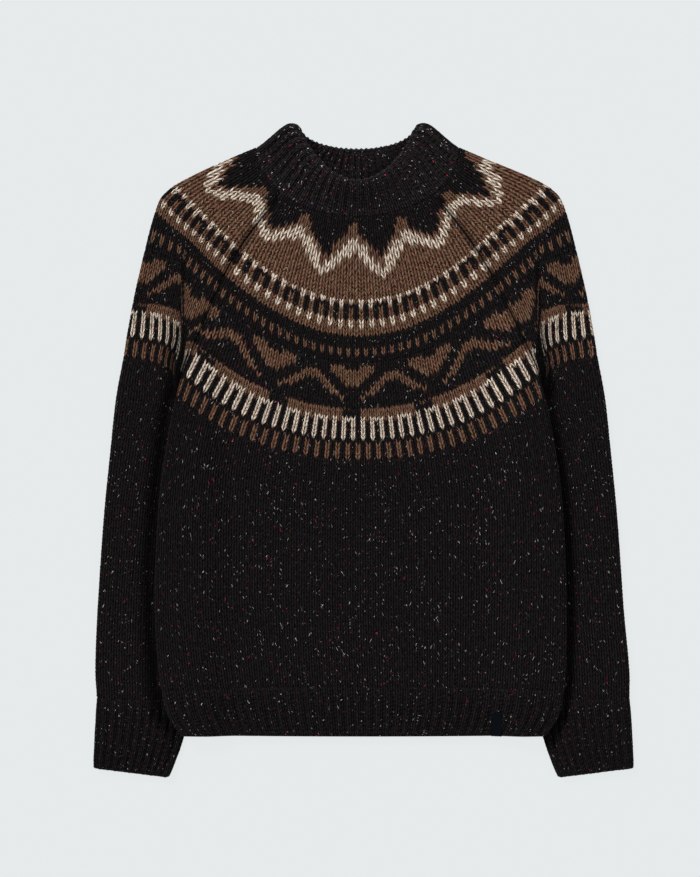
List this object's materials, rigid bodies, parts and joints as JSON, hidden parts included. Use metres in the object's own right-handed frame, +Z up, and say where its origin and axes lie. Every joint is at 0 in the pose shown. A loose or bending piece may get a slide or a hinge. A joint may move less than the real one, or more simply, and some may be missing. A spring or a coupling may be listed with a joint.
{
  "type": "fair isle jumper",
  "caption": "Chunky tweed wool jumper with a patterned round yoke, raglan sleeves, rolled crew neck and ribbed hem and cuffs, laid flat face up.",
  "frame": {"origin": "on the floor under the centre of the laid garment's box", "axes": "+Z up off the floor, +Y from the hem to the neck, +X to the wearer's left, which is the picture's right"},
  "size_m": [0.568, 0.6852, 0.0201],
  "materials": {
    "knit": "black tweed wool stocking stitch with brown and cream stranded pattern",
    "rib": "black tweed wool, knit one purl one rib",
    "tape": "black woven tape, bare"
  },
  "bodies": {
    "root": {"front_panel": "knit", "back_panel": "knit", "sleeve_left": "knit", "sleeve_right": "knit", "neckband": "rib", "front_welt": "rib", "back_welt": "rib", "cuff_left": "rib", "cuff_right": "rib", "hem_tab": "tape"}
  },
  "joints": []
}
